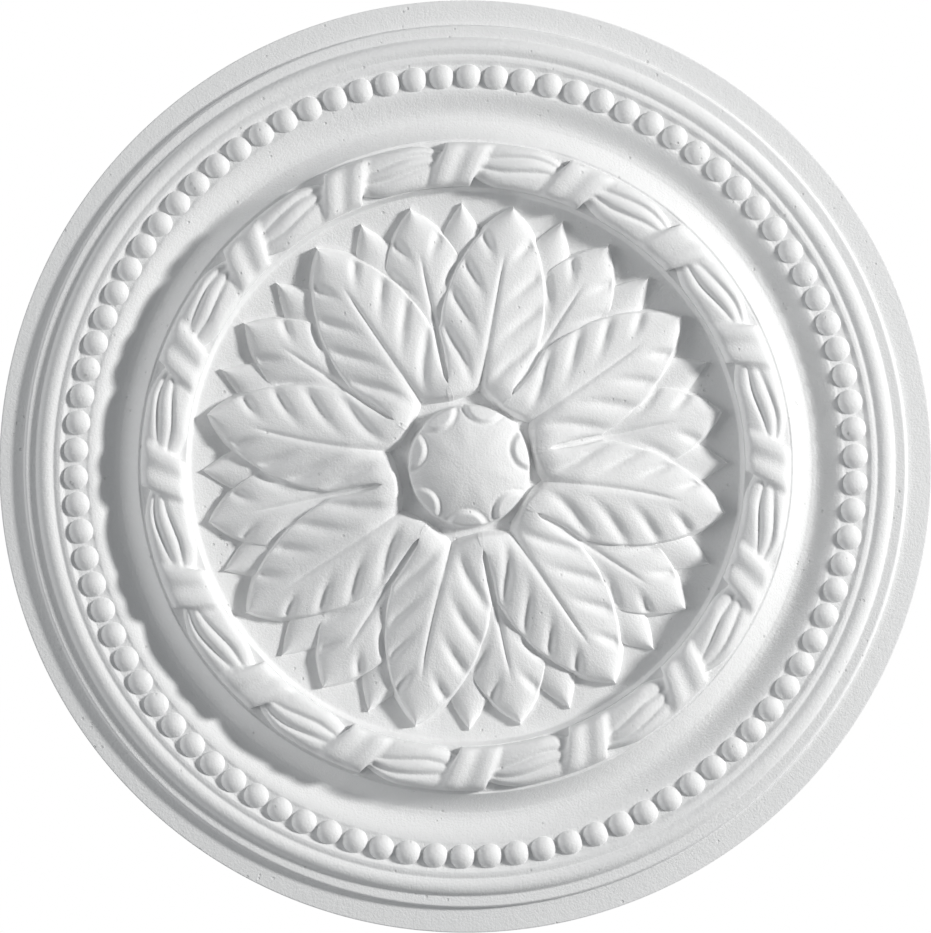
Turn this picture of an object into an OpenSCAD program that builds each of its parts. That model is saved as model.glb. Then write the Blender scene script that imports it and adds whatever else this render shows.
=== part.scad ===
// Ceiling rose: a round moulded ornament that is fixed to a ceiling by its flat back.
// It hangs face down: the back lies at z = 0, and the relief grows towards -Z.
// Every module below draws the relief face up, in millimetres, and ceiling_rose() turns it over.

/* [Disc] */
// Diameter of the whole rose
disc_d = 400; // [330:1:490]
// Width of the flat flange round the edge
flange_w = 10.5; // [6:0.5:16]
// Thickness of the flange at the very edge
flange_t = 6; // [4:0.5:10]
// How much the flange thickens towards the moulding
flange_rise = 0.8; // [0:0.1:2]

/* [Rim moulding] */
// Width of the moulding, from the flange to the crease beside the beads
moulding_w = 13.2; // [11:0.1:18]
// Height of the upright step beside the flange
step_h = 2.9; // [1:0.1:4]
// Height of the torus above the fillet that the step leads to
torus_rise = 3.3; // [2.9:0.1:6]
// Radius of the torus roll
torus_r = 4; // [3:0.1:4.3]
// How far the crease beside the torus lies below the bead channel
crease = 0.8; // [0:0.1:2]

/* [Beads] */
// Height of the bead channel's floor above the back
channel_z = 11.4; // [8:0.1:13]
// Width of the ramp from the crease up to the lip of the channel
ramp_w = 3.1; // [2:0.1:5]
// Height of that lip above the channel's floor
lip_h = 1.1; // [0.3:0.1:2]
// Diameter of the ball that a bead is the top of
bead_d = 11.4; // [9:0.1:11.5]
// Distance from one bead to the next along their ring
bead_pitch = 11.6; // [11.6:0.1:15]
// Depth of the ball's centre under the channel's floor
bead_depth = 1.8; // [0.5:0.1:3]
// Gap between a bead's foot and the sides of the channel
bead_gap = 0.1; // [0.1:0.1:1]

/* [Cove] */
// Width of the cove between the channel and the wreath's ledge
cove_w = 21.2; // [16:0.1:26]
// Height of the cove's shoulder beside the beads
shoulder_z = 11.9; // [9:0.1:13]
// Height of the cove's lowest line above the back
cove_z = 7.2; // [6:0.1:9]
// Share of the cove's width that falls, before it rises to the wreath
cove_fall = 0.54; // [0.3:0.01:0.7]

/* [Wreath] */
// Height of the ledge that the wreath stands on
ledge_z = 14.6; // [13:0.1:18]
// Width of the ledge outside the wreath
ledge_w = 1.4; // [0.8:0.1:3]
// Width of the wreath
wreath_w = 19; // [15:0.1:23]
// Height of the wreath's crest above the back
wreath_top = 23.4; // [20:0.1:27]
// Number of ribbon windings
windings = 16; // [12:1:20]
// Share of a winding that the ribbon covers
ribbon_share = 0.36; // [0.28:0.01:0.44]
// How far the ribbon leans along the wreath, edge to edge
ribbon_lean = 10; // [4:0.5:14]
// How far the ribbon stands above the reeds
ribbon_rise = 1.4; // [0.5:0.1:2]
// How far the ribbon's middle dips between its edges
ribbon_dip = 0.9; // [0:0.1:2]
// How far the ribbon's raised edges round off
ribbon_round = 0.8; // [0:0.1:1.5]
// Depth of the grooves between the reeds
reed_groove = 0.9; // [0:0.1:1.5]
// How far the reeds dip where they go under the ribbon
reed_dip = 2.2; // [1:0.1:4]
// Width of the narrow ledge inside the wreath
inner_ledge_w = 0.4; // [0.2:0.1:1]
// Distance from the wreath to the foot of the steep face inside it
inner_face_w = 2.4; // [1.5:0.1:4]

/* [Leaves] */
// Height of the field under the leaves
field_z = 8.6; // [7:0.1:10]
// How much the field rises towards the wreath
field_rise = 1.6; // [0:0.1:3]
// Gap between the wreath's foot and the feet of the leaf tips
tip_gap = 2.4; // [1:0.1:6]
// How far the wall at a leaf's tip slopes outwards to its foot
tip_wall = 2.8; // [1:0.1:4]
// Number of upper leaves, with as many lower leaves between them
leaf_pairs = 8; // [6:1:9]
// Half the width of an upper leaf
upper_half_w = 21.8; // [16:0.1:24]
// Half the width of a lower leaf
lower_half_w = 21; // [14:0.1:23]
// Half the width of a small leaf point
point_half_w = 15; // [8:0.1:18]
// Distance from a leaf's tip to its widest place
widest_at = 46; // [34:0.5:56]
// Height of an upper leaf's tip
upper_tip_z = 14.2; // [13:0.1:18]
// Height of a lower leaf's tip
lower_tip_z = 12.6; // [12:0.1:16]
// Height of a small point's tip
point_tip_z = 11.6; // [11:0.1:15]
// Height of the collar where the leaves meet round the boss
collar_z = 26.2; // [22:0.1:31]
// How far a lower leaf's midrib lies under the upper leaves' midribs
lower_drop = 3.9; // [2:0.1:6]
// How deep the collar's valleys run where two lobes meet
valley = 3.4; // [1:0.1:5]
// How much a leaf falls from its midrib to its edge
camber = 2.6; // [1:0.1:4]
// Half the slot between two upper leaves, over a lower leaf's midrib
leaf_slot = 1.2; // [0.5:0.1:3]
// Radius of the opening round the boss, at its narrowest
opening_r = 31; // [28:0.1:36]
// How much further out the opening's corners lie
corner_out = 5; // [2:0.1:7]
// Height of the opening's floor above the back
opening_z = 17; // [12:0.1:18]
// How far the lobes round over at the opening
lobe_round = 3; // [1:0.1:5]

/* [Boss] */
// Radius of the boss
boss_r = 25.8; // [20:0.1:27]
// Height of the boss above the back
boss_top = 33; // [29:0.1:38]
// Height at which the boss's dome begins
boss_spring_z = 23.8; // [17:0.1:24]
// Sideways place of the boss from the middle
boss_shift = [1.5, 0.3];
// How far the pads stand proud of the dome
pad_rise = 1.8; // [0.5:0.1:3]
// How far a pad reaches in from the boss's edge
pad_w = 7.3; // [4:0.1:10]
// Length of a pad along the boss's edge
pad_l = 17.5; // [10:0.5:20]

/* [Hidden] */
$fn = 96;
// Angle of the first upper leaf, of the first ribbon and of the first bead
leaf_turn = 34.6;
ribbon_turn = 23.75;
bead_turn = 1.55;
// Angles of the pads on the boss, which aren't quite evenly spaced
pad_turns = [15, 76, 122, 166, 220, 268, 315];
// Slope of the leaves' side walls, height over width
wall_slope = 2;
// How far the faceted relief reaches into the turned body
sink = 1.2;
// How far the opening's floor runs on under the collar
floor_reach = 1.5;

rim_r = disc_d / 2;
flange_r = rim_r - flange_w;
crease_r = flange_r - moulding_w;
lip_r = crease_r - ramp_w;
// The beads' feet fill the channel but for the gap on each side
bead_r = bead_d / 2;
bead_foot_r = sqrt(bead_r * bead_r - bead_depth * bead_depth);
bead_ring_r = lip_r - lip_h / 2 - bead_gap - bead_foot_r;
beads = floor(360 / (2 * asin(bead_pitch / 2 / bead_ring_r)));
cove_out_r = bead_ring_r - bead_foot_r - bead_gap;
ledge_r = cove_out_r - cove_w;
wreath_out_r = ledge_r - ledge_w;
wreath_in_r = wreath_out_r - wreath_w;
field_r = wreath_in_r - inner_face_w;
tip_foot_r = field_r - tip_gap;
tip_r = tip_foot_r - tip_wall;

wreath_mid_r = (wreath_out_r + wreath_in_r) / 2;
wreath_half = wreath_w / 2;
winding_a = 360 / windings;
lean_a = ribbon_lean / wreath_mid_r * 180 / PI;

leaf_a = 180 / leaf_pairs;

function clamp(v, low, high) = max(low, min(high, v));
function mix(a, b, t) = a + (b - a) * t;
function ease(t) = t * t * (3 - 2 * t);

// Points along a round stretch, from angle a0 to a1
function arc_points(c, r, a0, a1, n) =
    [for (i = [0:n]) c + r * [cos(mix(a0, a1, i / n)), sin(mix(a0, a1, i / n))]];
// Points along an S-shaped stretch from p to q, without p itself
function ogee_points(p, q, n) =
    [for (i = [1:n]) [mix(p[0], q[0], i / n), mix(p[1], q[1], ease(i / n))]];
// Points along a hollow stretch that rises from p to q ever more steeply
function rising_points(p, q, n) =
    [for (i = [1:n]) [mix(p[0], q[0], i / n), mix(p[1], q[1], pow(i / n, 1.5))]];

// Section of the rim, channel, cove and ledge, from the edge inwards
step_r = flange_r - 0.5;
fillet_z = flange_t + flange_rise + step_h;
// The torus is drawn from this angle above its outer foot to this angle above its inner foot
torus_from = 20;
torus_to = 155;
torus_c = [crease_r + 0.1 - torus_r * cos(torus_to), fillet_z + torus_rise - torus_r];
fillet_in_r = torus_c[0] + torus_r * cos(torus_from) + 0.5;
lip_z = channel_z + lip_h;
cove_low_r = cove_out_r - cove_w * cove_fall;
section = concat(
    [[0, 0], [rim_r, 0], [rim_r, flange_t], [flange_r, flange_t + flange_rise]],
    [[step_r, fillet_z - 0.5], [step_r - 0.5, fillet_z], [fillet_in_r, fillet_z]],
    arc_points(torus_c, torus_r, torus_from, torus_to, 10),
    [[crease_r, channel_z - crease], [lip_r + 0.8, lip_z - 0.3], [lip_r, lip_z]],
    [[lip_r - lip_h / 2, channel_z], [cove_out_r, shoulder_z]],
    ogee_points([cove_out_r - 1, shoulder_z], [cove_low_r, cove_z], 9),
    rising_points([cove_low_r - 1.2, cove_z], [ledge_r, ledge_z], 6),
    [[wreath_in_r - inner_ledge_w, ledge_z], [field_r, field_z + field_rise], [field_r - 14, field_z]],
    [[0, field_z]]
);

module turned_body() {
    color("whitesmoke") rotate_extrude() polygon(section);
}

module bead_ring() {
    color("white") for (i = [0:beads - 1]) {
        rotate(bead_turn + i * 360 / beads) translate([bead_ring_r, 0, channel_z - bead_depth])
            sphere(bead_r);
    }
}

// One closed relief: rows of points from the centre outwards, each row running once round.
// The last face closes its underside.
module relief(rows) {
    n = len(rows[0]);
    m = len(rows);
    polyhedron(
        points = [for (row = rows) each row],
        faces = [
            for (j = [0:m - 1], i = [0:n - 1])
                let (k = (i + 1) % n, up = ((j + 1) % m) * n, at = j * n)
                each [[at + i, at + k, up + k], [at + i, up + k, up + i]]
        ],
        convexity = 8
    );
}

function polar(r, a, z) = [r * cos(a), r * sin(a), z];

// The wreath: u runs once along each winding from the middle of a ribbon.
// t runs across it, from -1 at the inside to 1 at the outside.
ribbon_edge = ribbon_share / 2;
// The ribbon's raised edges run at this share of its half-width, and the reeds begin this far past its edge
ribbon_crest = 0.75;
reed_start = 0.03;
half_stations = [ribbon_edge * ribbon_crest, ribbon_edge, ribbon_edge + reed_start, 0.36];
stations = concat([0], half_stations, [0.5], [for (i = [3:-1:0]) 1 - half_stations[i]]);
across = [-1, -0.66, -0.3, 0, 0.3, 0.66, 1];

function on_ribbon(u) = min(u, 1 - u) <= ribbon_edge + 0.001;
// How far a bundle of reeds is drawn in at one end, on one side of the wreath
function pinch(u, t) =
    let (end = t > 0 ? u - ribbon_edge : 1 - ribbon_edge - u)
    0.4 * pow(max(0, 1 - end / 0.24), 2);
function wreath_reach(u, t) = t * (on_ribbon(u) ? 1 : 1 - pinch(u, t) * abs(t));
// Three reeds lie side by side, with a groove 0.3 from the middle on each side
function groove_z(t) = abs(abs(t) - 0.3) < 0.01 ? reed_groove : 0;
// The ribbon is hollow between its raised edges and rounds off outside them.
// v is 0 in its middle and 1 at its edge.
function ribbon_fall(v) =
    v < ribbon_crest
        ? ribbon_dip * (1 - pow(v / ribbon_crest, 2))
        : ribbon_round * pow((v - ribbon_crest) / (1 - ribbon_crest), 2);
function wreath_z(u, t) =
    let (
        round = sqrt(max(0, 1 - t * t * 0.98)),
        from_ribbon = min(u, 1 - u) - ribbon_edge,
        dip = reed_dip * pow(max(0, 1 - from_ribbon / 0.3), 2)
    )
    on_ribbon(u)
        ? mix(ledge_z, wreath_top - ribbon_fall(min(u, 1 - u) / ribbon_edge), round)
        : mix(ledge_z, wreath_top - ribbon_rise - dip, round) - groove_z(t);

module wreath() {
    function row(t, z = undef) = [
        for (w = [0:windings - 1], u = stations)
            let (a = ribbon_turn + winding_a * (w + u) - lean_a * t / 2)
            polar(wreath_mid_r + wreath_half * wreath_reach(u, t), a, is_undef(z) ? wreath_z(u, t) : z)
    ];
    low = ledge_z - sink;
    color("white") relief(concat([row(-1, low)], [for (t = across) row(t)], [row(1, low)]));
}

// Leaves: half-width of a leaf at radius r, whose greatest half-width is w
function leaf_half(r, w) = w * sin(90 * pow(clamp((tip_r - r) / widest_at, 0, 1), 0.8));
// Upper leaves leave a slot over a lower leaf's midrib, and close over it at the collar
opening_out = opening_r + corner_out;
slot_in_r = opening_out + 3;
function slot(r) = mix(-sink, leaf_slot, ease(clamp((r - slot_in_r) / 6, 0, 1)));
function upper_half(r) = min(leaf_half(r, upper_half_w), r * sin(leaf_a) - slot(r));
// Height along a leaf's midrib
function spine_z(r, tip_z, top_z) =
    mix(tip_z, top_z, pow(clamp((tip_r - r) / (tip_r - opening_out), 0, 1), 0.8));
// How much a leaf falls at the share x of its half-width: it is arched, and near the collar it is a valley
function fall(r, x) =
    let (collar = ease(clamp((opening_out + 16 - r) / 14, 0, 1)))
    mix(camber * x * x, valley * pow(1 - x, 2), collar);
// How far the opening's rim lies inside its corners, at angle a from an upper leaf's midrib
function lobe_in(a) = corner_out * (1 - pow(clamp(1 - abs(a) / leaf_a, 0, 1), 1.6));

// One leaf on its own, pointing along +X. Its radii run outwards, with a half-width and a fall for each.
// The underside, at height low, and both end faces lie inside the body.
leaf_low = field_z - 2 * sink;
// Each kind of leaf has its underside a step above the one over it
low_step = 0.35;
end_wall = 0.3;
// A wall is no wider than this in plan
wall_w = 4;
module leaf(radii, halves, falls, tip_z, top_z, shares, low) {
    function place(r, y, z) =
        let (a = asin(y / r), in = lobe_in(a) * clamp(1 - (r - opening_out - 3) / 10, 0, 1))
        polar(r - in, a, z);
    function station(j) =
        let (
            r = radii[j],
            half = halves[j],
            spine = spine_z(r, tip_z, top_z) - falls[j],
            tops = [for (x = shares) max(low + end_wall, spine - fall(r, abs(x)))],
            foot = half + min((tops[0] - low) / wall_slope, wall_w)
        )
        concat(
            [place(r, -foot, low)],
            [for (i = [0:len(shares) - 1]) place(r, shares[i] * half, tops[i])],
            [place(r, foot, low)]
        );
    rows = [for (j = [0:len(radii) - 1]) station(j)];
    n = len(rows[0]);
    m = len(rows);
    polyhedron(
        points = [for (row = rows) each row],
        faces = concat(
            [
                for (j = [0:m - 2], i = [0:n - 1])
                    let (k = (i + 1) % n, at = j * n, up = at + n)
                    each [[at + i, up + k, up + i], [at + i, at + k, up + k]]
            ],
            [[for (i = [n - 1:-1:0]) i], [for (i = [0:n - 1]) (m - 1) * n + i]]
        ),
        convexity = 6
    );
}

// Radii at every leaf's tip, the last at the foot of its end wall
tip_radii = [tip_r - 11, tip_r - 4, tip_r, tip_foot_r];
tip_end = 0.4;
// More than any leaf's height, so that a station lowered by it lies at the foot
deep = 40;
function halves_of(radii, w) = [for (r = radii) max(tip_end, leaf_half(r, w))];
function tip_falls(n) = concat([for (i = [2:n]) 0], [deep]);
wide_shares = [-1, -0.7, -0.35, 0, 0.35, 0.7, 1];
narrow_shares = [-1, -0.5, 0, 0.5, 1];

module upper_leaf() {
    blade = [for (i = [0:3]) mix(opening_out + 10, tip_r - 20, i / 3)];
    radii = concat([opening_out - 3, opening_out, opening_out + 2.5, opening_out + 6], blade, tip_radii);
    halves = [for (r = radii) max(tip_end, upper_half(r))];
    falls = concat([deep, lobe_round, lobe_round * 0.3], tip_falls(len(radii) - 3));
    leaf(radii, halves, falls, upper_tip_z, collar_z, wide_shares, leaf_low);
}

module lower_leaf() {
    radii = concat([for (i = [0:3]) mix(slot_in_r, tip_r - 20, i / 3)], tip_radii);
    halves = halves_of(radii, lower_half_w);
    top = collar_z - lower_drop;
    leaf(radii, halves, tip_falls(len(radii)), lower_tip_z, top, wide_shares, leaf_low + low_step);
}

module leaf_point() {
    radii = concat([tip_r - 32, tip_r - 20], tip_radii);
    halves = halves_of(radii, point_half_w);
    top = collar_z - 2 * lower_drop - valley;
    leaf(radii, halves, tip_falls(len(radii)), point_tip_z, top, narrow_shares, leaf_low + 2 * low_step);
}

// All the leaves make one relief, which is brought to its full height
module rosette() {
    color("white") translate([0, 0, leaf_low]) resize([0, 0, collar_z - leaf_low])
        for (p = [0:leaf_pairs - 1]) rotate(leaf_turn + 2 * leaf_a * p) translate([0, 0, -leaf_low]) {
            upper_leaf();
            rotate(leaf_a) lower_leaf();
            rotate(leaf_a / 2) leaf_point();
            rotate(leaf_a * 3 / 2) leaf_point();
        }
}

// The opening's floor, which runs on under the collar
module opening_floor() {
    color("white") translate([0, 0, sink])
        cylinder(r = opening_r + corner_out + floor_reach, h = opening_z - sink);
}

// The boss: a dome like a bud, with raised lens-shaped pads round its edge
dome_rise = boss_top - boss_spring_z;
dome_r = (boss_r * boss_r + dome_rise * dome_rise) / 2 / dome_rise;
dome_z = boss_top - dome_r;
// A pad's inner edge is an arc, which meets the boss's edge half the pad's length to each side
pad_depth = pad_w - (boss_r - sqrt(boss_r * boss_r - pad_l * pad_l / 4));
pad_r = (pad_l * pad_l / 4 + pad_depth * pad_depth) / 2 / pad_depth;

module boss() {
    color("white") translate(concat(boss_shift, [0])) {
        translate([0, 0, field_z - sink]) cylinder(r = boss_r, h = boss_spring_z - field_z + sink);
        intersection() {
            translate([0, 0, dome_z]) sphere(dome_r);
            translate([0, 0, boss_spring_z - 1]) cylinder(r = boss_r, h = dome_rise + 2);
        }
        intersection() {
            translate([0, 0, dome_z]) sphere(dome_r + pad_rise);
            translate([0, 0, boss_spring_z - sink]) cylinder(r = boss_r, h = dome_rise);
            for (turn = pad_turns) {
                rotate(turn) translate([boss_r - pad_w + pad_r, 0, boss_spring_z - 2 * sink])
                    cylinder(r = pad_r, h = 2 * dome_rise);
            }
        }
    }
}

module ceiling_rose() {
    rotate([180, 0, 0]) {
        turned_body();
        bead_ring();
        wreath();
        rosette();
        opening_floor();
        boss();
    }
}

ceiling_rose();
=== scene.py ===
"""A round ceiling rose moulded in white foam, fixed face down by its flat back.

Every piece is worked out face up, in millimetres: x to the right, y upwards and z the height above the back.
face_down() then turns the points over into the row frame, in metres.
"""
import math

import bpy
import numpy as np
from mathutils import Matrix, Vector


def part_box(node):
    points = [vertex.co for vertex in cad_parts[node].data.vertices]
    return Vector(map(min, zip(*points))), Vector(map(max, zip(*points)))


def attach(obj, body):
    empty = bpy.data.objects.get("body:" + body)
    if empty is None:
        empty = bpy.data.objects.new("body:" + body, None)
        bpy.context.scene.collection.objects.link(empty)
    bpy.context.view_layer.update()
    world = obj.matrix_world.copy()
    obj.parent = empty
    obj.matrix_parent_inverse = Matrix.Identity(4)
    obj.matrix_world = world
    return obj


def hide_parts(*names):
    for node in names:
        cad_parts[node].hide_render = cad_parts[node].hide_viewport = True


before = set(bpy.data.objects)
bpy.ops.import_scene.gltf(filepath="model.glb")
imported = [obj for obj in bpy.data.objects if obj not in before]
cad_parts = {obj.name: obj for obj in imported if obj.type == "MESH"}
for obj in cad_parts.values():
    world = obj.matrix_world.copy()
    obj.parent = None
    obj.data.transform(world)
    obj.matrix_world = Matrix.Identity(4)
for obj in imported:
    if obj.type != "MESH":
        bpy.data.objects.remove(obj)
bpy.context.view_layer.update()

MM = 0.001
NODE = "ceiling_rose"

# ---------------------------------------------------------------- sizes in millimetres, from the rim inwards
lowest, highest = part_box(NODE)
rim_r = (highest.x - lowest.x) / 2 / MM
boss_top = (highest.z - lowest.z) / MM

flange_w = 10.5
moulding_w = 13.2
ramp_w = 3.1
lip_h = 1.1
bead_ball_r = 5.7
bead_depth = 1.8
bead_gap = 0.1
cove_w = 21.2
ledge_w = 1.4
wreath_w = 19
inner_face_w = 2.4
tip_gap = 2.4
tip_wall = 2.8

flange_r = rim_r - flange_w
crease_r = flange_r - moulding_w
lip_r = crease_r - ramp_w
bead_foot_r = math.sqrt(bead_ball_r ** 2 - bead_depth ** 2)
bead_ring_r = lip_r - lip_h / 2 - bead_gap - bead_foot_r
cove_out_r = bead_ring_r - bead_foot_r - bead_gap
ledge_r = cove_out_r - cove_w
wreath_out_r = ledge_r - ledge_w
wreath_in_r = wreath_out_r - wreath_w
field_r = wreath_in_r - inner_face_w
tip_foot_r = field_r - tip_gap
tip_r = tip_foot_r - tip_wall

# heights above the back
flange_z = 6
channel_z = 11.4
shoulder_z = 11.9
cove_z = 7.2
ledge_z = 14.6
wreath_top = 23.4
field_z = 8.6
opening_z = 17
collar_z = 26.2


def mix(a, b, t):
    """a where t is 0, b where t is 1."""
    return a + (b - a) * t


def unit(t):
    """t held between 0 and 1."""
    return np.clip(t, 0, 1)


def ease(t):
    """0 up to t = 0 and 1 from t = 1, with a smooth rise between."""
    t = unit(t)
    return t * t * (3 - 2 * t)


# ---------------------------------------------------------------- meshes
def face_down(points):
    """Face-up millimetres to the row frame in metres."""
    return points * np.array([1, -1, -1]) * MM


def piece(name, points, quads, others=()):
    """One closed piece that rides on the body and stands for the CAD solid."""
    mesh = bpy.data.meshes.new(name)
    mesh.from_pydata(face_down(points).tolist(), [], quads.tolist() + [list(face) for face in others])
    mesh.shade_smooth()
    mesh.materials.append(foam)
    obj = bpy.data.objects.new(name, mesh)
    bpy.context.scene.collection.objects.link(obj)
    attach(obj, "root")
    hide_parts(NODE)
    return obj


def grid_quads(rows, columns, close_rows, close_columns, start=0):
    """Quads of a grid of points, whose rows and columns may each run round and meet."""
    i = np.arange(rows if close_rows else rows - 1)[:, None]
    k = np.arange(columns if close_columns else columns - 1)[None, :]
    up = (i + 1) % rows
    along = (k + 1) % columns
    quads = np.stack([i * columns + k, up * columns + k, up * columns + along, i * columns + along], axis=-1)
    return quads.reshape(-1, 4) + start


def fan(tip, ring, count, down=False):
    """Triangles from the point numbered tip to the ring of points that starts at number ring.

    down turns them over.
    """
    pairs = [(ring + k, ring + (k + 1) % count) for k in range(count)]
    return [(tip, b, a) if down else (tip, a, b) for a, b in pairs]


def lid(ring, count):
    """The flat face that closes a ring of points that starts at number ring."""
    return list(range(ring + count - 1, ring - 1, -1))


def polar(r, a, z):
    """Points at radius r, angle a in degrees and height z."""
    r, a, z = np.broadcast_arrays(r, a, z)
    return np.stack([r * np.cos(np.radians(a)), r * np.sin(np.radians(a)), z], axis=-1)


def round_angles(steps):
    """The angles in degrees that part a full turn into so many steps."""
    return np.arange(steps) * 360 / steps


# ---------------------------------------------------------------- materials
class Wire:
    """A socket that can be written in sums: each operator adds its Math node."""

    def __init__(self, shade, socket):
        self.shade = shade
        self.socket = socket

    def math(self, operation, first, second):
        return self.shade.make("ShaderNodeMath", {"operation": operation}, {0: first, 1: second})

    def __add__(self, other):
        return self.math("ADD", self, other)

    def __sub__(self, other):
        return self.math("SUBTRACT", self, other)

    def __rsub__(self, other):
        return self.math("SUBTRACT", other, self)

    def __mul__(self, other):
        return self.math("MULTIPLY", self, other)

    __radd__ = __add__
    __rmul__ = __mul__


class Shade:
    """The node tree of one material or world, which starts empty."""

    def __init__(self, tree):
        self.tree = tree
        tree.nodes.clear()

    def make(self, kind, settings=None, sockets=None, out=0):
        """A node of this kind, with its settings, then the values and links of its sockets."""
        node = self.tree.nodes.new(kind)
        for key, value in (settings or {}).items():
            setattr(node, key, value)
        for key, value in (sockets or {}).items():
            if isinstance(value, Wire):
                self.tree.links.new(value.socket, node.inputs[key])
            else:
                node.inputs[key].default_value = value
        return Wire(self, node.outputs[out] if len(node.outputs) else None)

    def ramp(self, value, low, high):
        """0 below low, 1 above high, smooth between."""
        return self.make("ShaderNodeMapRange", {"interpolation_type": "SMOOTHSTEP"},
                         {"Value": value, "From Min": low, "From Max": high})


def moulded_foam():
    """White foam as it leaves a mould: matt, with a fine grain and a few open pores, painted grey inside as
    shade.
    """
    material = bpy.data.materials.new("moulded_foam")
    material.use_nodes = True
    shade = Shade(material.node_tree)
    where = shade.make("ShaderNodeTexCoord", out=3)
    grain = shade.make("ShaderNodeTexNoise", None,
                       {"Vector": where, "Scale": 1050, "Detail": 3, "Roughness": 0.65})
    swell = shade.make("ShaderNodeTexNoise", None, {"Vector": where, "Scale": 260, "Detail": 2})
    pores = shade.make("ShaderNodeTexVoronoi", None, {"Vector": where, "Scale": 260})
    pore_pick = shade.make("ShaderNodeTexNoise", None, {"Vector": where, "Scale": 90, "Detail": 1})
    pits = (1 - shade.ramp(pores, 0.1, 0.2)) * shade.ramp(pore_pick, 0.6, 0.66)
    cloud = shade.make("ShaderNodeTexNoise", None, {"Vector": where, "Scale": 28, "Detail": 3})
    height = grain * 0.8 + swell * 0.45 - pits * 0.8
    bump = shade.make("ShaderNodeBump", None, {"Strength": 0.75, "Distance": 0.0005, "Height": height})
    tint = shade.make("ShaderNodeMix", {"data_type": "RGBA"},
                      {"Factor": cloud, 6: (0.888, 0.89, 0.893, 1), 7: (0.912, 0.912, 0.91, 1)}, out=2)
    # painted shade: the pores are coloured grey, as the shade that falls inside them
    pore_shaded = shade.make("ShaderNodeMix", {"data_type": "RGBA"},
                        {"Factor": pits * 0.5, 6: tint, 7: (0.74, 0.74, 0.74, 1)}, out=2)
    surface = shade.make("ShaderNodeBsdfPrincipled", None,
                         {"Base Color": pore_shaded, "Roughness": 0.62 + grain * 0.2, "Normal": bump,
                          "Specular IOR Level": 0.35})
    shade.make("ShaderNodeOutputMaterial", None, {"Surface": surface})
    return material


foam = moulded_foam()


# ---------------------------------------------------------------- the turned body: back, rim, cove and field
def arc_points(centre, r, start, end, steps):
    """An arc round a centre, from one angle in degrees to another."""
    a = np.radians(np.linspace(start, end, steps + 1))
    return np.stack([centre[0] + r * np.cos(a), centre[1] + r * np.sin(a)], axis=-1)


def ogee_points(p, q, steps):
    """An S-shaped stretch from p to q, without p itself."""
    t = np.linspace(0, 1, steps + 1)[1:]
    return np.stack([mix(p[0], q[0], t), mix(p[1], q[1], ease(t))], axis=-1)


def rising_points(p, q, steps):
    """A hollow stretch that rises from p to q ever more steeply, without p itself."""
    t = np.linspace(0, 1, steps + 1)[1:]
    return np.stack([mix(p[0], q[0], t), mix(p[1], q[1], t ** 1.5)], axis=-1)


# a point of a section is left out where it is no further than this from the last one kept
SPACING = 0.3


def soften(outline, reach, passes=3):
    """Rounds an outline's corners, no further than reach along each side."""
    points = [outline[0]]
    for before, at, after in zip(outline[:-2], outline[1:-1], outline[2:]):
        for end in (before, after):
            length = np.linalg.norm(end - at)
            points.append(at + (end - at) * min(0.5, reach / max(length, 1e-9)))
            if end is before:
                points.append(at)
    points.append(outline[-1])
    points = np.array(points)
    for _ in range(passes):
        cut = np.empty((2 * len(points) - 2, 2))
        cut[0::2] = points[:-1] * 0.75 + points[1:] * 0.25
        cut[1::2] = points[:-1] * 0.25 + points[1:] * 0.75
        points = np.concatenate([points[:1], cut, points[-1:]])
    kept = [points[0]]
    for point in points[1:-1]:
        if np.linalg.norm(point - kept[-1]) > SPACING:
            kept.append(point)
    return np.array(kept + [points[-1]])


def rim_outline():
    """The section from the centre of the back, out round the rim and in to the centre of the field."""
    flange_rise = 0.8
    step_h = 2.9
    step_r = flange_r - 0.5
    fillet_z = flange_z + flange_rise + step_h
    torus_r = 4
    torus_h = 3.3
    torus_start, torus_end = 20, 112
    # the arc's middle lies this far outside the crease
    torus_out = 3.73
    torus_c = [crease_r + torus_out, fillet_z + torus_h - torus_r]
    fillet_in_r = torus_c[0] + torus_r * math.cos(math.radians(torus_start)) + 0.5
    lip_z = channel_z + lip_h
    # the cove is lowest a little past the middle of its width
    cove_low = 0.54
    cove_low_r = cove_out_r - cove_w * cove_low
    # a fine groove where the wreath's outer foot meets the ledge
    foot_r = wreath_out_r + 0.55
    parts = [
        [[0, 0], [rim_r, 0], [rim_r, flange_z], [flange_r, flange_z + flange_rise]],
        [[step_r, fillet_z - 0.5], [step_r - 0.5, fillet_z], [fillet_in_r, fillet_z]],
        arc_points(torus_c, torus_r, torus_start, torus_end, 20),
        [[crease_r + 0.4, lip_z - 0.7], [crease_r - 0.9, lip_z - 0.15], [lip_r + 0.9, lip_z]],
        [[lip_r - lip_h, channel_z], [cove_out_r + 1, channel_z + 0.2], [cove_out_r, shoulder_z]],
        ogee_points([cove_out_r, shoulder_z], [cove_low_r, cove_z], 24),
        rising_points([cove_low_r - 1.2, cove_z], [ledge_r, ledge_z], 16),
        [[foot_r + 0.5, ledge_z], [foot_r, ledge_z - 0.3], [foot_r - 0.5, ledge_z]],
        [[wreath_in_r - 0.4, ledge_z], [field_r + 0.3, field_z + 1.7], [field_r - 0.5, field_z + 1.4]],
        [[field_r - 14, field_z], [0, field_z]],
    ]
    return np.concatenate([np.array(part, float) for part in parts])


def turned_piece(name, outline, steps=360):
    """A solid turned from an outline that starts and ends on the axis."""
    rows = outline[1:-1]
    count = len(rows)
    points = polar(rows[:, :1], round_angles(steps)[None, :], rows[:, 1:]).reshape(-1, 3)
    quads = grid_quads(count, steps, False, True)[:, ::-1]
    poles = np.array([[0, 0, outline[0][1]], [0, 0, outline[-1][1]]])
    fans = fan(len(points), 0, steps, down=True) + fan(len(points) + 1, (count - 1) * steps, steps)
    return piece(name, np.concatenate([points, poles]), quads, fans)


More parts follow.
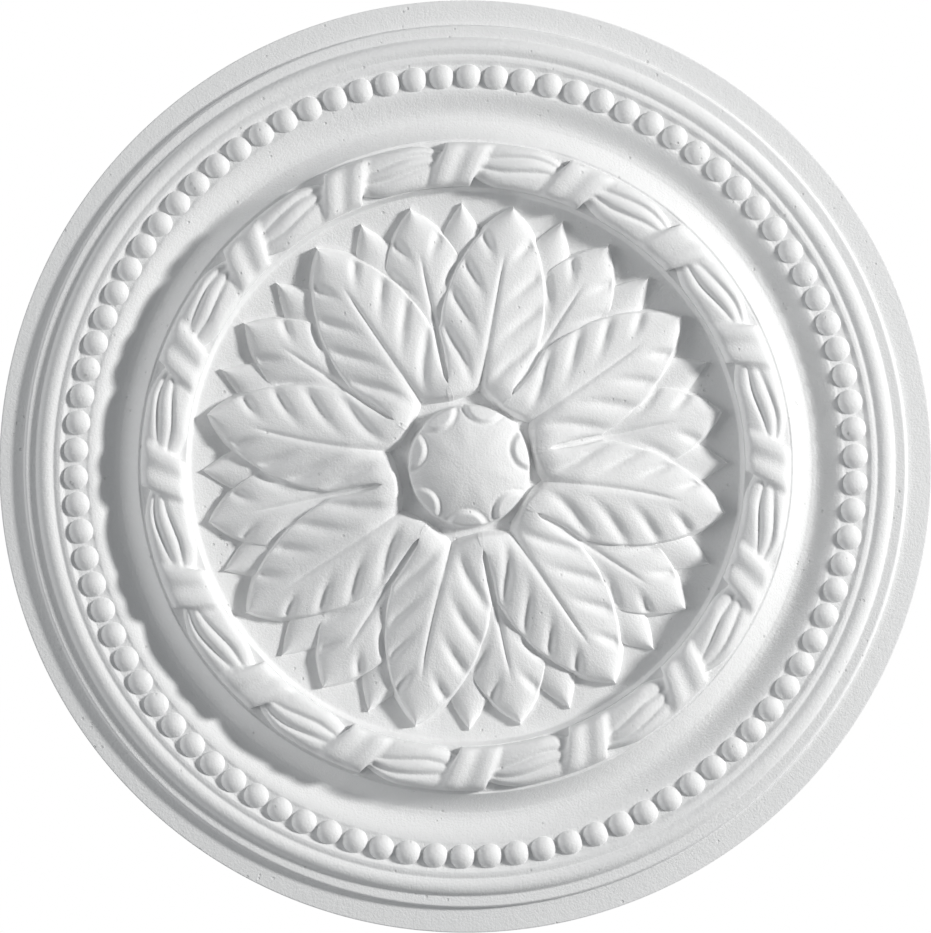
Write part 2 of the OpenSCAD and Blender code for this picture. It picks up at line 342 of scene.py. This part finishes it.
turned_piece("rim_and_cove", soften(rim_outline(), 0.45))


# ---------------------------------------------------------------- the ring of beads
def bead_ring():
    """Low domes side by side in the channel, each the top of a ball whose middle is under the floor."""
    beads = 90
    first_turn = 1.55
    # a little past the ball's widest, so that the dome's foot is well under the floor
    foot_angle = 92
    rows, steps = 14, 30
    fall = np.linspace(0, foot_angle, rows + 1)[1:]
    across = np.sin(np.radians(fall)) * bead_ball_r
    up = np.cos(np.radians(fall)) * bead_ball_r
    dome = polar(across[:, None], round_angles(steps)[None, :], up[:, None]).reshape(-1, 3)
    dome = np.concatenate([dome, [[0, 0, bead_ball_r]]])
    one = grid_quads(rows, steps, False, True)
    points, quads, others = [], [], []
    for b in range(beads):
        a = math.radians(first_turn + b * 360 / beads)
        start = b * len(dome)
        centre = np.array([bead_ring_r * math.cos(a), bead_ring_r * math.sin(a), channel_z - bead_depth])
        points.append(dome + centre)
        quads.append(one + start)
        others += fan(start + rows * steps, start, steps)
        others.append(lid(start + (rows - 1) * steps, steps))
    return piece("bead_ring", np.concatenate(points), np.concatenate(quads), others)


bead_ring()


# ---------------------------------------------------------------- the wreath
WINDINGS = 16
RIBBON_TURN = 23.75
# half of the ribbon's width, as a share of the way from one winding to the next
RIBBON_EDGE = 0.18


def reed_grooves(f, t):
    """Depth, from 0 to about 1, of the two grooves that part three reeds.

    f runs from one winding's edge, 0, to the next one's, 1, and t from the inner side, -1, to the outer, 1.
    """
    outer = mix(0.6, 0.27, ease(f)) + 0.05 * np.sin(np.pi * f)
    inner = mix(0.08, -0.24, ease(f * 1.4)) - 0.05 * np.sin(np.pi * f)
    groove_half = 0.15
    fade = 0.25 + 0.75 * np.sin(np.pi * unit(f)) ** 0.8
    groove = sum(np.exp(-np.abs((t - at) / groove_half) ** 1.7) for at in (outer, inner))
    return groove * fade


def wreath():
    """Three reeds side by side, with a broad ribbon wound round them."""
    mid_r = (wreath_out_r + wreath_in_r) / 2
    half = wreath_w / 2
    # how far the ribbon's outer end lies behind its inner end, in mm along the ring
    ribbon_slant = 8
    lean = math.degrees(ribbon_slant / mid_r)
    winding = math.radians(360 / WINDINGS) * mid_r
    u = np.linspace(0, 1, 81)[:-1]
    t = np.sin(np.linspace(-math.pi / 2, math.pi / 2, 57))
    uu, tt = np.meshgrid(u, t)
    # place along the bundle, which starts at one winding's edge and ends at the next one's
    f = (uu - RIBBON_EDGE) / (1 - 2 * RIBBON_EDGE)
    away = np.minimum(uu, 1 - uu)
    # millimetres past the ribbon's edge, negative on the ribbon itself
    past = (away - RIBBON_EDGE) * winding
    # where the ribbon stands highest over the reeds: on the outer side at f = 0, on the inner side at f = 1
    proud = np.where(uu < 0.5, (1 + tt) / 2, (1 - tt) / 2)
    # the ribbon goes over into the reeds within this many millimetres, and faster where it stands proud
    slow_over, quick_over = 6.5, 4.6
    over = ease((past + 1.8) / mix(slow_over, quick_over, proud))
    # the bundle's outline draws in beside the ribbon, on the same two sides: depths in mm, lengths as shares
    cut_out_depth, cut_out_l = 4.4, 0.46
    cut_in_depth, cut_in_l = 4.6, 0.4
    clear = ease((past + 0.6) / 2.2)
    cut_out = cut_out_depth * unit(1 - f / cut_out_l) ** 1.7 * clear
    cut_in = cut_in_depth * unit(1 - (1 - f) / cut_in_l) ** 1.7 * clear
    reach = 1 - np.where(tt > 0, np.where(uu < 0.5, cut_out, 0), np.where(uu > 0.5, cut_in, 0)) / half
    # full height across nearly the whole width, then down to the ledge on both sides
    side = unit(1 - np.abs(tt) ** 9) ** 0.5
    crown = wreath_top - ledge_z
    # the reeds dip beside the ribbon, over a stretch of dip_l
    reed_drop, reed_camber, groove_depth = 0.8, 1.8, 1.7
    low_dip, deep_dip, dip_l = 1.5, 3.4, 15
    dip = mix(low_dip, deep_dip, proud) * unit(1 - past / dip_l) ** 1.5
    reeds = crown - reed_drop - dip - reed_camber * tt ** 2 - groove_depth * reed_grooves(unit(f), tt)
    # the ribbon has two soft folds with a hollow between them
    v = away / RIBBON_EDGE
    fold = 0.58
    fold_depth, edge_drop, ribbon_camber = 1.1, 2.6, 2.1
    hollow = np.where(v < fold, np.cos(np.pi / 2 * v / fold) ** 2, 0)
    ribbon = crown - fold_depth * hollow - edge_drop * unit((v - fold) / 0.75) ** 2
    ribbon = ribbon - ribbon_camber * np.abs(tt) ** 2.2
    z = ledge_z + mix(ribbon, reeds, over) * side
    r = mid_r + half * tt * reach
    a = 360 / WINDINGS * uu - lean * tt / 2
    rows = []
    for w in range(WINDINGS):
        rows.append(polar(r, a + RIBBON_TURN + w * 360 / WINDINGS, z))
    top = np.concatenate(rows, axis=1)
    foot_z = ledge_z - 1.2
    inner, outer = top[0].copy(), top[-1].copy()
    inner[:, 2] = foot_z
    outer[:, 2] = foot_z
    points = np.concatenate([[inner], top, [outer]])
    m, n = points.shape[:2]
    return piece("ribbon_wreath", points.reshape(-1, 3), grid_quads(m, n, True, True))


wreath()


# ---------------------------------------------------------------- the leaves
LEAVES = 8
# half of the angle from one upper leaf to the next, and where the first one points, in degrees
LEAF_A = 180 / LEAVES
LEAF_TURN = 34.6
# the opening's edge is scalloped: CORNER_OUT further out at the leaves' midribs than between them
OPENING_R = 31
CORNER_OUT = 5
OPENING_WALL = 3
OPENING_FOOT_R = 27.5
# half-width of a leaf at its very tip
LEAST_HALF = 0.15
# a blade's last stretch, where its rows lie closer together
TIP_L = 6
opening_out = OPENING_R + CORNER_OUT
blade_end = tip_r - TIP_L
# the foot of the leaves' walls, sunk into the field
leaf_floor = field_z - 2.4


def leaf_half(r, w, widest_at=46):
    """Half-width of a leaf at radius r, whose greatest half-width is w."""
    return w * np.sin(np.pi / 2 * unit((tip_r - r) / widest_at) ** 0.8)


def upper_half(r):
    """Half-width of an upper leaf. The slot to its neighbour closes at the collar."""
    slot_half = 1.2
    slot = mix(-slot_half, slot_half, ease((r - opening_out - 1) / 6))
    return np.minimum(leaf_half(r, 21.8), r * math.sin(math.radians(LEAF_A)) - slot)


def spine_z(r, tip_z, top_z):
    """Height along a leaf's middle, from its tip up to the collar."""
    return mix(tip_z, top_z, unit((tip_r - r) / (tip_r - opening_out)) ** 0.8)


def lobe_in(a):
    """How far the opening's edge lies inside its corners, at angle a from an upper leaf's midrib."""
    return CORNER_OUT * (1 - unit(1 - np.abs(a) / LEAF_A) ** 1.6)


def gathered(count):
    """Places from -1 to 1, closer together in the middle and at both ends."""
    p = np.linspace(-1, 1, count)
    return p - 0.55 * np.sin(2 * np.pi * p) / (2 * np.pi)


def vein_grooves(s, y, half, starts, depth):
    """Oblique grooves on both halves of a leaf, which deepen outwards and ease off close to its edge."""
    slant = 1.25
    groove_half = 2.1
    lean = 1 / math.hypot(1, slant)
    along = s + slant * np.abs(y)
    out = np.abs(y) / half
    grooves = sum(np.exp(-((along - start) * lean / groove_half) ** 2) for start in starts)
    return grooves * depth * ease((out - 0.12) / 0.5) * (1 - 0.55 * ease((out - 0.75) / 0.25))


def leaf(radii, halves, falls, tip_z, top_z, veins, vein_depth, rib, valley=0.8, bow=0, swing=0, across=61):
    """One leaf pointing along +x: rows of points that run from foot to foot over its face.

    radii, halves and falls give each row's radius, half-width and how far it is lowered. veins are the places
    of its veins, counted from the tip's foot. At the collar its middle lies in a valley. Its midrib bends by
    bow, and its tip stands swing degrees off.
    """
    camber = 2.6
    x = gathered(across)[None, :]
    r = radii[:, None]
    half = halves[:, None]
    s = tip_foot_r - r
    # 0 out on the blade, 1 at the collar
    collar = ease((opening_out + 16 - r) / 14)
    y = x * half
    # the outline is dented a little where a vein meets it
    dented = vein_grooves(s, y, half, veins, 1)
    y = x * (half - 0.2 * dented * np.abs(x) ** 6)
    arch = mix(camber * x * x, valley * (1 - np.abs(x)) ** 2, collar)
    # its edges are rounded, more broadly towards the collar
    edge_r = mix(0.45, 2.2, ease((80 - r) / 30))
    edge = unit(1 - (1 - np.abs(x)) * half / edge_r)
    edge_fall = edge_r * (1 - np.sqrt(1 - edge ** 2 * 0.96)) * (1 - collar)
    z = spine_z(r, tip_z, top_z) - falls[:, None] - arch - edge_fall
    z = z - vein_grooves(s, y, half, veins, vein_depth)
    # the groove along its midrib starts a little way in from the tip
    rib_depth = rib * ease((s - 20) / 14) * (1 - 0.5 * collar)
    rib_w = mix(0.9, 1.5, ease((s - 20) / 50))
    z = z - rib_depth * np.exp(-np.abs(y / rib_w) ** 1.6)
    z = np.maximum(z, leaf_floor + 0.3)
    bend = bow * np.sin(np.pi * unit((r - opening_out) / (tip_r - opening_out)))
    y = y + bend * (1 - x * x)
    # the walls on both sides spread a little down to the foot, but hardly at the collar
    q = np.linspace(0, 1, 8)[1:]
    drop = z[:, -1:] - leaf_floor
    wall = np.minimum(drop / 1.9, 4) * mix(1, 0.08, ease((opening_out + 12 - r) / 9))
    wall_z = z[:, -1:] - drop * q
    wall_y = half + wall * (0.8 * q + 0.2 * q ** 3)
    y = np.concatenate([-wall_y[:, ::-1], y, wall_y], axis=1)
    z = np.concatenate([wall_z[:, ::-1], z, wall_z], axis=1)
    a = np.degrees(np.arcsin(np.clip(y / r, -1, 1)))
    swung = swing * ease((r - opening_out - 4) / (tip_r - opening_out - 4))
    return r, a + swung, z


def leaf_rows(blade, end_depth):
    """Radii of a leaf's rows, and how far each is lowered.

    The rows given run along its blade. More follow towards its tip, and over the wall at its end.
    """
    near = blade_end + TIP_L * (1 - (1 - np.linspace(0, 1, 13)[1:]) ** 1.5)
    q = np.linspace(0, 1, 7)[1:]
    radii = np.concatenate([blade, near, tip_r + tip_wall * q])
    return radii, np.concatenate([np.zeros(len(radii) - len(q)), end_depth * q])


def upper_leaf(bow, swing):
    """A leaf of the upper layer, with the opening's lip and wall at its inner end."""
    lip_w, lip_drop = 7, 2.2
    inner = np.linspace(opening_out - OPENING_WALL, opening_out, 12)[:-1]
    lip = opening_out + lip_w * np.linspace(0, 1, 13)[1:] ** 1.3
    blade = np.linspace(lip[-1], blade_end, 86)[1:]
    radii, end_fall = leaf_rows(np.concatenate([inner, lip, blade]), end_depth=8.5)
    halves = np.maximum(LEAST_HALF, upper_half(radii))
    lip_fall = lip_drop * (1 - unit((radii - opening_out) / lip_w)) ** 2.2
    down = unit((opening_out - radii) / OPENING_WALL)
    inner_fall = (collar_z - opening_z) * (0.35 * down + 0.65 * ease(down))
    r, a, z = leaf(radii, halves, lip_fall + inner_fall + end_fall, tip_z=14.2, top_z=collar_z,
                   veins=(29, 48, 64.5, 80), vein_depth=2.3, rib=1.3, valley=3.6, bow=bow, swing=swing)
    # the opening's wall: scalloped along its top, round along its foot
    edge_at = np.maximum(r, opening_out) - lobe_in(a) * unit(1 - (r - opening_out) / 13)
    return mix(edge_at, OPENING_FOOT_R, down[:, None]), a, z


def lower_leaf():
    """A leaf of the lower layer, which shows between two upper ones."""
    radii, falls = leaf_rows(np.linspace(opening_out + 0.8, blade_end, 86), end_depth=7.5)
    # only a narrow strip under the slot until the upper leaves part
    strip = 4 + 1.6 * np.maximum(0, radii - 50)
    halves = np.minimum(np.maximum(LEAST_HALF, leaf_half(radii, 21)), strip)
    # lowered along its inner half, where it would come through the upper leaves
    dip_depth, dip_at, dip_half = 3, 63, 15
    falls = falls + dip_depth * np.exp(-((radii - dip_at) / dip_half) ** 2)
    return leaf(radii, halves, falls, tip_z=12.6, top_z=collar_z - 2.4,
                veins=(28, 46, 62), vein_depth=2.1, rib=1.2)


def leaf_point():
    """The plain point of a leaf that shows between an upper and a lower one."""
    radii, falls = leaf_rows(np.linspace(tip_r - 32, blade_end, 30), end_depth=6)
    halves = np.maximum(LEAST_HALF, leaf_half(radii, 15))
    return leaf(radii, halves, falls, tip_z=11.6, top_z=16.4, veins=(), vein_depth=0, rib=0, across=31)


def leaf_set(name, leaves):
    """Joins leaves into one piece. Each is (radius, angle, height) and the angle it points at."""
    points, quads, caps = [], [], []
    start = 0
    for (r, a, z), turn in leaves:
        m, n = z.shape
        points.append(polar(r, a + turn, z).reshape(-1, 3))
        quads.append(grid_quads(m, n, False, True, start))
        caps.append(list(range(start, start + n)))
        caps.append(lid(start + (m - 1) * n, n))
        start += m * n
    return piece(name, np.concatenate(points), np.concatenate(quads), caps)


turns = [LEAF_TURN + 2 * LEAF_A * k for k in range(LEAVES)]
# by how much each upper leaf's midrib bends to one side, and by how many degrees its tip stands off
bows = (0, 0, 0, 2, 0, -2, 0, 2.5)
swings = (0.2, -0.1, -0.3, -1, -0.9, -0.5, 0.1, 0.2)
leaf_set("upper_leaves", [(upper_leaf(bow, swing), turn) for bow, swing, turn in zip(bows, swings, turns)])
leaf_set("lower_leaves", [(lower_leaf(), turn + LEAF_A) for turn in turns])
leaf_set("leaf_points", [(leaf_point(), turn + LEAF_A * (k + 0.5)) for turn in turns for k in (0, 1)])


# ---------------------------------------------------------------- the boss
def boss():
    """A dome like a bud, with raised lens-shaped pads round its edge."""
    boss_r = 25.8
    spring_z = 23.8
    # the boss sits a little off the middle
    shift = np.array([1.5, 0.3, 0])
    pad_rise, pad_w, pad_l = 1.8, 7.3, 17.5
    pad_turns = (15, 76, 122, 166, 220, 268, 315)
    crease_depth = 0.35
    ridge_h = 0.35
    edge_r = 1.2
    rise = boss_top - spring_z
    dome_r = (boss_r ** 2 + rise ** 2) / 2 / rise
    pad_depth = pad_w - (boss_r - math.sqrt(boss_r ** 2 - pad_l ** 2 / 4))
    pad_r = (pad_l ** 2 / 4 + pad_depth ** 2) / 2 / pad_depth
    steps = 300
    radii = np.concatenate([np.linspace(0, boss_r - 3, 52)[1:], np.linspace(boss_r - 3, boss_r, 14)[1:]])
    angles = round_angles(steps)
    r, a = np.meshgrid(radii, angles, indexing="ij")
    x, y = r * np.cos(np.radians(a)), r * np.sin(np.radians(a))
    raised = np.zeros_like(r)
    crease = np.zeros_like(r)
    ridge = np.zeros_like(r)
    # an arc bounds each pad on its inner side, with a fine crease along it
    for turn in pad_turns:
        c = (boss_r - pad_w + pad_r) * np.array([math.cos(math.radians(turn)), math.sin(math.radians(turn))])
        inside = pad_r - np.hypot(x - c[0], y - c[1])
        raised = np.maximum(raised, ease(inside / 2.7))
        crease = np.maximum(crease, np.exp(-((inside + 0.4) / 0.7) ** 2))
    z = boss_top - dome_r + np.sqrt((dome_r + pad_rise * raised) ** 2 - r ** 2)
    # a faint ridge runs out between each pad and the next
    for turn, next_turn in zip(pad_turns, pad_turns[1:] + (pad_turns[0] + 360,)):
        off = np.radians((a - (turn + next_turn) / 2 + 180) % 360 - 180)
        ridge = np.maximum(ridge, np.exp(-(r * np.sin(off) / 3) ** 2) * (np.cos(off) > 0))
    z = z - crease_depth * crease + ridge_h * ridge * ease((r - 4) / 10) * ease((boss_r - r) / 8)
    edge = unit((r - (boss_r - edge_r)) / edge_r)
    z = z - edge_r * (1 - np.sqrt(1 - edge ** 2 * 0.98))
    # the wall runs out in a hollow into the opening's floor, which ends under the collar
    q = np.linspace(0, 1, 9)[1:, None]
    wall = polar(boss_r + 0.9 * q ** 3, angles[None, :], mix(z[-1], opening_z + 0.6, q))
    floor_r = opening_out + 1.5
    section = np.array([[28, opening_z + 0.1], [31, opening_z], [floor_r, opening_z], [floor_r, leaf_floor]])
    skirt = polar(section[:, :1], angles[None, :], section[:, 1:])
    points = np.concatenate([polar(r, a, z), wall, skirt])
    m, n = points.shape[:2]
    points = np.concatenate([points.reshape(-1, 3), [[0, 0, boss_top]]]) + shift
    others = fan(m * n, 0, n) + [lid((m - 1) * n, n)]
    return piece("boss", points, grid_quads(m, n, False, True), others)


boss()


# ---------------------------------------------------------------- floor, light and camera
def pale_floor(drop, size):
    """A square of this size, this far below the ceiling, both in metres."""
    mesh = bpy.data.meshes.new("floor")
    h = size / 2
    mesh.from_pydata([(-h, -h, -drop), (h, -h, -drop), (h, h, -drop), (-h, h, -drop)], [], [(0, 1, 2, 3)])
    paint = bpy.data.materials.new("floor_paint")
    paint.use_nodes = True
    paint.node_tree.nodes["Principled BSDF"].inputs["Base Color"].default_value = (0.8, 0.8, 0.8, 1)
    mesh.materials.append(paint)
    floor = bpy.data.objects.new("floor", mesh)
    bpy.context.scene.collection.objects.link(floor)


def lamp(name, kind, towards, distance=0, **settings):
    """A lamp that shines at the origin from the direction given."""
    light = bpy.data.lights.new(name, kind)
    for key, value in settings.items():
        setattr(light, key, value)
    obj = bpy.data.objects.new(name, light)
    direction = Vector(towards).normalized()
    obj.location = direction * distance
    obj.rotation_euler = direction.to_track_quat("Z", "Y").to_euler()
    bpy.context.scene.collection.objects.link(obj)


def seen_at(turn, height):
    """The direction of a place round the face: turn is counted on the face, height is out from it."""
    turn, height = math.radians(turn), math.radians(height)
    flat = math.cos(height)
    return (math.cos(turn) * flat, -math.sin(turn) * flat, -math.sin(height))


pale_floor(drop=6.5, size=4)
lamp("key", "AREA", seen_at(15, 28), distance=4.5,
     energy=194, color=(1, 0.995, 0.985), shape="DISK", size=0.64)
lamp("side_fill", "SUN", seen_at(176, 20), energy=0.95, angle=math.radians(35))
lamp("top", "AREA", (0.4, -0.9, 1.6), distance=2.2, energy=42, size=1.6)

world = bpy.data.worlds.new("studio")
world.use_nodes = True
bpy.context.scene.world = world
air = Shade(world.node_tree)
straight = air.make("ShaderNodeLightPath", out=0)
fill = air.make("ShaderNodeBackground", None, {"Color": (0.93, 0.97, 1, 1), "Strength": 0.2})
backdrop = air.make("ShaderNodeBackground", None, {"Color": (1, 1, 1, 1), "Strength": 1.0})
air.make("ShaderNodeOutputWorld", None,
         {"Surface": air.make("ShaderNodeMixShader", None, {0: straight, 1: fill, 2: backdrop})})
bpy.context.scene.view_settings.view_transform = "Standard"

# the camera looks straight at the face, and the flange's edge just fits its view
camera_away = 6.0
view_margin = 1.00075
half_view = rim_r * MM * view_margin
camera = bpy.data.cameras.new("camera")
camera.sensor_width = 36
camera.clip_end = 100
camera.lens = camera.sensor_width / 2 / (half_view / (camera_away - flange_z * MM))
eye = bpy.data.objects.new("camera", camera)
eye.matrix_world = Matrix.Translation((0, 0, -camera_away)) @ Matrix.Rotation(math.pi, 4, "X")
bpy.context.scene.collection.objects.link(eye)
bpy.context.scene.camera = eye
